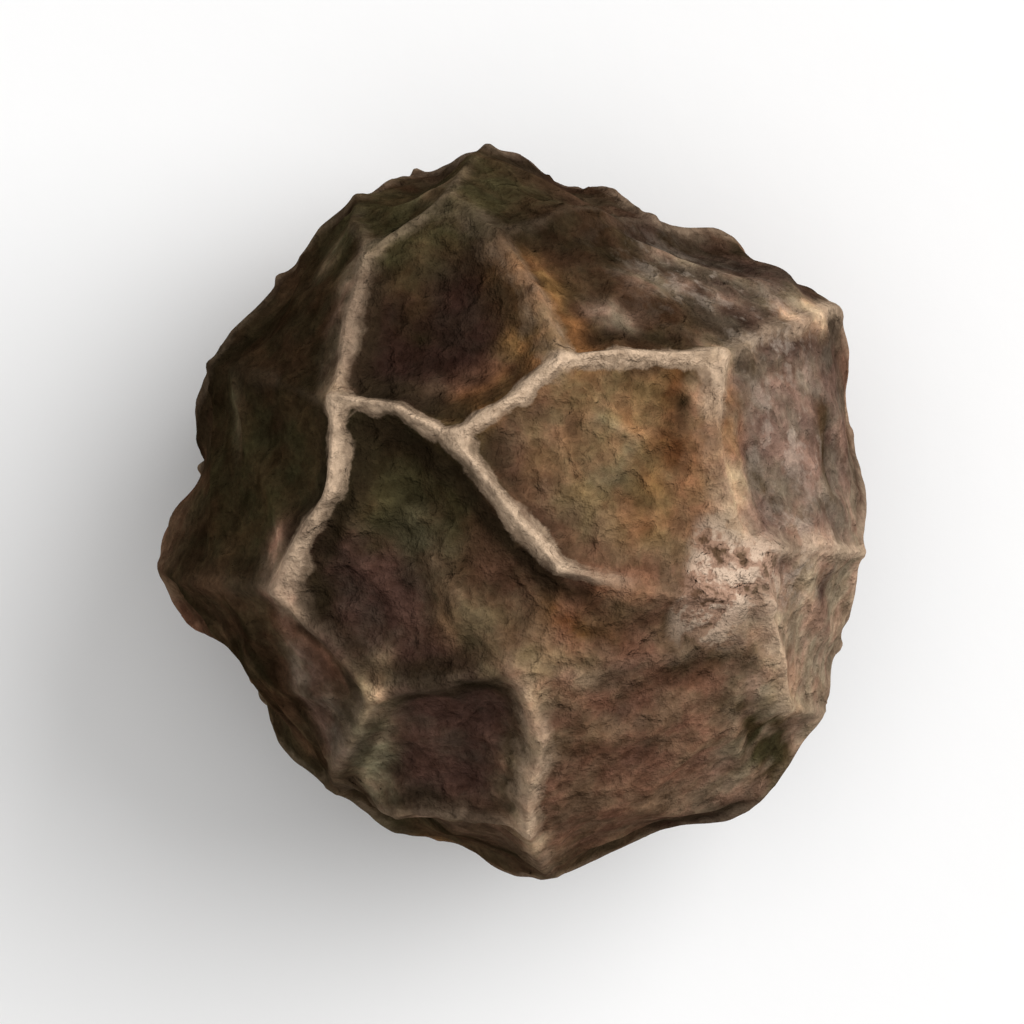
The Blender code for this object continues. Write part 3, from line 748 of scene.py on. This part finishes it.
def set_down(surface, size):
    """The surface at the model's size, cut flat underneath, with the origin under its box's middle."""
    surface[:, 2] = np.maximum(surface[:, 2], surface[:, 2].min() + FLAT_SPOT_DEPTH)
    low, high = surface.min(axis=0), surface.max(axis=0)
    surface = (surface - (low + high) / 2) * size / (high - low)
    surface[:, 2] += size[2] / 2
    return surface


def ball_mesh(squares):
    """A ball spread from a cube, with squares of nearly one size, as a bmesh."""
    ball = bmesh.new()
    bmesh.ops.create_cube(ball, size=2.0)
    bmesh.ops.subdivide_edges(ball, edges=ball.edges[:], cuts=squares - 1, use_grid_fill=True)
    for vertex in ball.verts:
        vertex.co = Vector([math.tan(share * math.pi / 4) for share in vertex.co]).normalized()
    return ball


def build_skin(size):
    ball = ball_mesh(GRID_SQUARES)
    points = np.array([vertex.co for vertex in ball.verts])
    surface, marks, tint = skin_points(points)
    for vertex, place in zip(ball.verts, set_down(surface, size)):
        vertex.co = Vector(place) * MM
    mesh = bpy.data.meshes.new("skin")
    ball.to_mesh(mesh)
    ball.free()
    mesh.shade_smooth()
    for name, values in marks.items():
        mark = mesh.attributes.new(name, "FLOAT", "POINT")
        mark.data.foreach_set("value", values.astype(np.float32))
    colours = np.ones((len(points), 4), np.float32)
    colours[:, :3] = tint
    mesh.attributes.new("tint", "FLOAT_COLOR", "POINT").data.foreach_set("color", colours.ravel())
    skin = bpy.data.objects.new("skin", mesh)
    bpy.context.scene.collection.objects.link(skin)
    return skin


class Nodes:
    """A material's nodes, with short calls that add one and join it up."""

    def __init__(self, name):
        self.material = bpy.data.materials.new(name)
        self.material.use_nodes = True
        self.tree = self.material.node_tree
        self.shader = self.tree.nodes["Principled BSDF"]

    def join(self, source, target):
        if isinstance(source, bpy.types.NodeSocket):
            self.tree.links.new(source, target)
        else:
            target.default_value = source

    def mark(self, name):
        node = self.tree.nodes.new("ShaderNodeAttribute")
        node.attribute_name = name
        return node

    def where(self, offset=0.0):
        """The place on the object, in metres, shifted by an offset in millimetres."""
        place = self.tree.nodes.new("ShaderNodeTexCoord")
        shift = self.tree.nodes.new("ShaderNodeVectorMath")
        shift.inputs[1].default_value = (offset * MM, 0, 0)
        self.tree.links.new(place.outputs["Object"], shift.inputs[0])
        return shift.outputs[0]

    def noise(self, length_mm, detail=3.0, roughness=0.55, offset=0.0):
        """Noise from 0 to 1 over the object, with waves of about this length, new for each offset."""
        node = self.tree.nodes.new("ShaderNodeTexNoise")
        node.inputs["Scale"].default_value = 1 / (length_mm * MM)
        node.inputs["Detail"].default_value = detail
        node.inputs["Roughness"].default_value = roughness
        self.tree.links.new(self.where(offset), node.inputs["Vector"])
        return node.outputs["Fac"]

    def folds(self, length_mm, share, offset=0.0):
        """Winding folds, about this length apart: 1 on their crests and 0 past a share of the length."""
        height = self.noise(length_mm, detail=1.5, offset=offset)
        return self.span(self.math("ABSOLUTE", self.math("SUBTRACT", height, 0.5), 0.0), 0.5 * share, 0.0)

    def span(self, value, low, high, to_low=0.0, to_high=1.0):
        """A value from low to high turned into one from to_low to to_high, and held there."""
        node = self.tree.nodes.new("ShaderNodeMapRange")
        node.interpolation_type = "SMOOTHSTEP"
        self.join(value, node.inputs["Value"])
        for name, number in zip(("From Min", "From Max", "To Min", "To Max"), (low, high, to_low, to_high)):
            node.inputs[name].default_value = number
        return node.outputs["Result"]

    def math(self, kind, first, second):
        node = self.tree.nodes.new("ShaderNodeMath")
        node.operation = kind
        self.join(first, node.inputs[0])
        self.join(second, node.inputs[1])
        return node.outputs[0]

    def product(self, value, *factors):
        """A value multiplied by each factor in turn."""
        for factor in factors:
            value = self.math("MULTIPLY", value, factor)
        return value

    def mix(self, share, first, second, blend="MIX"):
        node = self.tree.nodes.new("ShaderNodeMix")
        node.data_type = "RGBA"
        node.blend_type = blend
        node.clamp_factor = True
        self.join(share, node.inputs["Factor"])
        for colour, name in ((first, "A_Color"), (second, "B_Color")):
            socket = next(s for s in node.inputs if s.identifier == name)
            self.join(colour if isinstance(colour, bpy.types.NodeSocket) else (*colour, 1.0), socket)
        return next(s for s in node.outputs if s.identifier == "Result_Color")

    def times(self, share, colour, factor):
        """A colour multiplied by a factor, by this share of the way."""
        return self.mix(share, colour, self.mix(1.0, colour, factor, "MULTIPLY"))

    def bump(self, height, distance_mm, normal=None):
        node = self.tree.nodes.new("ShaderNodeBump")
        node.inputs["Distance"].default_value = distance_mm * MM
        self.join(height, node.inputs["Height"])
        if normal:
            self.join(normal, node.inputs["Normal"])
        return node.outputs["Normal"]


def skin_material():
    n = Nodes("peppercorn_skin")
    names = ("crest", "pale", "line", "stand", "spur", "scar", "deep", "flecked")
    crest, pale, line, stand, spur, scar, deep, flecked = (n.mark(name).outputs["Fac"] for name in names)
    colour = n.mark("tint").outputs["Color"]

    # The basins' own brown, mottled lighter and darker, redder and more olive, with painted shade in its
    # wrinkles.
    mottle = n.noise(MOTTLE_LENGTH, detail=5.0)
    fine = n.noise(FINE_LENGTH, detail=5.0, offset=3)
    wrinkles = n.noise(WRINKLE_LENGTH, detail=4.0, offset=5)
    colour = n.times(n.span(mottle, *MOTTLE_LIGHT), colour, LIGHTER)
    colour = n.times(n.span(fine, *FINE_DARK), colour, DARKER)
    colour = n.times(n.span(wrinkles, *WRINKLE_SHADE), colour, DARKER)
    hue = n.span(n.noise(HUE_LENGTH, offset=21), *HUE_CHANGE)
    colour = n.times(1.0, colour, n.mix(hue, REDDER, GREENER))
    # Painted shade at the foot of a ridge, where it drops into a deep basin.
    foot_shade = n.product(n.span(stand, *FOOT_SHADE_BOTTOM), n.span(stand, *FOOT_SHADE_TOP), n.span(deep, *FOOT_SHADE_DEEP))
    colour = n.mix(foot_shade, colour, PAINTED_SHADE_BROWN)
    # The crests of the small wrinkles are lighter where the skin is dry, partly paler dry skin and partly a
    # painted highlight, and there are pale flecks in some places.
    leather = n.folds(LEATHER_LENGTH, LEATHER_WIDTH_SHARE, offset=7)
    dry = n.span(n.noise(DRY_LENGTH, offset=11), *DRY_PART)
    colour = n.times(n.product(leather, LEATHER_PALE_AND_HIGHLIGHT, dry), colour, LIGHTER)
    colour = n.times(n.product(spur, SPUR_PALE_AND_HIGHLIGHT, dry), colour, LIGHTER)
    flecks = n.span(n.noise(FLECK_LENGTH, detail=5.0, roughness=0.65, offset=19), *FLECK_PART)
    colour = n.mix(n.product(flecks, flecked), colour, FLECK_CREAM)
    # Pale crests with ragged edges, tan at their sides and cream on top.
    edge = n.span(n.noise(RAGGED_LENGTH, detail=4.0, offset=13), *RAGGED_EDGE)
    ragged = n.math("ADD", line, edge)
    paleness = n.math("DIVIDE", pale, n.math("MAXIMUM", line, LEAST_LINE))
    dusting = n.product(n.math("POWER", paleness, PALENESS_POWER), dry)
    colour = n.mix(n.product(n.span(ragged, *CREST_SIDES), dusting), colour, RIDGE_TAN)
    colour = n.mix(n.product(n.span(ragged, *CREST_TOP), dusting), colour, RIDGE_CREAM)
    # Specks, lighter and darker, all over.
    specks = n.noise(SPECK_LENGTH, detail=2.0, roughness=0.7, offset=31)
    colour = n.times(n.span(specks, *SPECK_LIGHT), colour, LIGHTER)
    colour = n.times(n.span(specks, *SPECK_DARK), colour, DARKER)
    # The scar is cream, mottled with pink and brown.
    pits = n.noise(PIT_LENGTH, offset=27)
    flesh = n.mix(n.span(pits, *PINK_FLESH), SCAR_BROWN, SCAR_PINK)
    flesh = n.mix(n.span(pits, *CREAM_FLESH), flesh, SCAR_CREAM)
    colour = n.mix(n.product(scar, FLESH_COVER), colour, flesh)
    n.join(colour, n.shader.inputs["Base Color"])

    # The skin is dull, the crests more so.
    rough = n.math("ADD", n.span(crest, *CREST_ROUGHNESS), n.span(fine, *FINE_ROUGHNESS))
    n.join(rough, n.shader.inputs["Roughness"])
    n.shader.inputs["Specular IOR Level"].default_value = 0.0
    normal = n.bump(wrinkles, WRINKLE_BUMP)
    normal = n.bump(leather, LEATHER_BUMP, normal)
    normal = n.bump(n.product(pits, scar), PIT_BUMP, normal)
    normal = n.bump(specks, SPECK_BUMP, normal)
    n.join(normal, n.shader.inputs["Normal"])
    return n.material


def paper_material():
    n = Nodes("paper")
    clouds = n.noise(PAPER_CLOUD_LENGTH)
    n.join(n.mix(clouds, PAPER_GREY, PAPER_WHITE), n.shader.inputs["Base Color"])
    n.shader.inputs["Roughness"].default_value = PAPER_ROUGHNESS
    n.join(n.bump(n.noise(PAPER_GRAIN_LENGTH, detail=4.0), PAPER_BUMP), n.shader.inputs["Normal"])
    return n.material


def build_paper():
    bpy.ops.mesh.primitive_plane_add(size=PAPER_SIDE)
    paper = bpy.context.object
    paper.name = "paper"
    paper.data.materials.append(paper_material())


def set_lights():
    for name, (place, width, watts) in LIGHTS.items():
        data = bpy.data.lights.new(name, "AREA")
        data.shape = "DISK"
        data.size = width
        data.energy = watts
        light = bpy.data.objects.new(name, data)
        light.location = place
        light.rotation_euler = (-Vector(place)).to_track_quat("-Z", "Y").to_euler()
        bpy.context.scene.collection.objects.link(light)
    world = bpy.data.worlds.new("studio")
    world.use_nodes = True
    world.node_tree.nodes["Background"].inputs["Color"].default_value = SKY_COLOUR
    world.node_tree.nodes["Background"].inputs["Strength"].default_value = SKY_STRENGTH
    bpy.context.scene.world = world
    bpy.context.scene.view_settings.view_transform = "Standard"


def set_camera(size):
    """Straight above the berry with a long lens, which shows its form nearly without perspective."""
    data = bpy.data.cameras.new("camera")
    data.sensor_width = SENSOR_MM
    data.lens = LENS_MM
    data.clip_start = MM
    camera = bpy.data.objects.new("camera", data)
    middle = size[2] / 2 * MM
    width_seen = size[1] * MM / FILLED_SHARE
    camera.location = (0, 0, middle + width_seen * LENS_MM / SENSOR_MM)
    bpy.context.scene.collection.objects.link(camera)
    bpy.context.scene.camera = camera


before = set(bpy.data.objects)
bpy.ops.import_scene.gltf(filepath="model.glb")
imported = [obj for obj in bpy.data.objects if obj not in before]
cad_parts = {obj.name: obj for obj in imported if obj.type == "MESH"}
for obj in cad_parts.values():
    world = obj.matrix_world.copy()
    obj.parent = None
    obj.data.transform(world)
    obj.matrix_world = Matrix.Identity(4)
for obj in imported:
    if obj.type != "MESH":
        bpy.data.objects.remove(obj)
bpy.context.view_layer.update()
PLACES = place_junctions()
STRETCHES = ridge_stretches()
low, high = (np.array(corner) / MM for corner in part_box("peppercorn"))
SIZE = high - low
MEAN_RADIUS = SIZE.sum() / 6

skin = build_skin(SIZE)
skin.data.materials.append(skin_material())
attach(skin, "root")
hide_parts("peppercorn")

build_paper()
set_lights()
set_camera(SIZE)
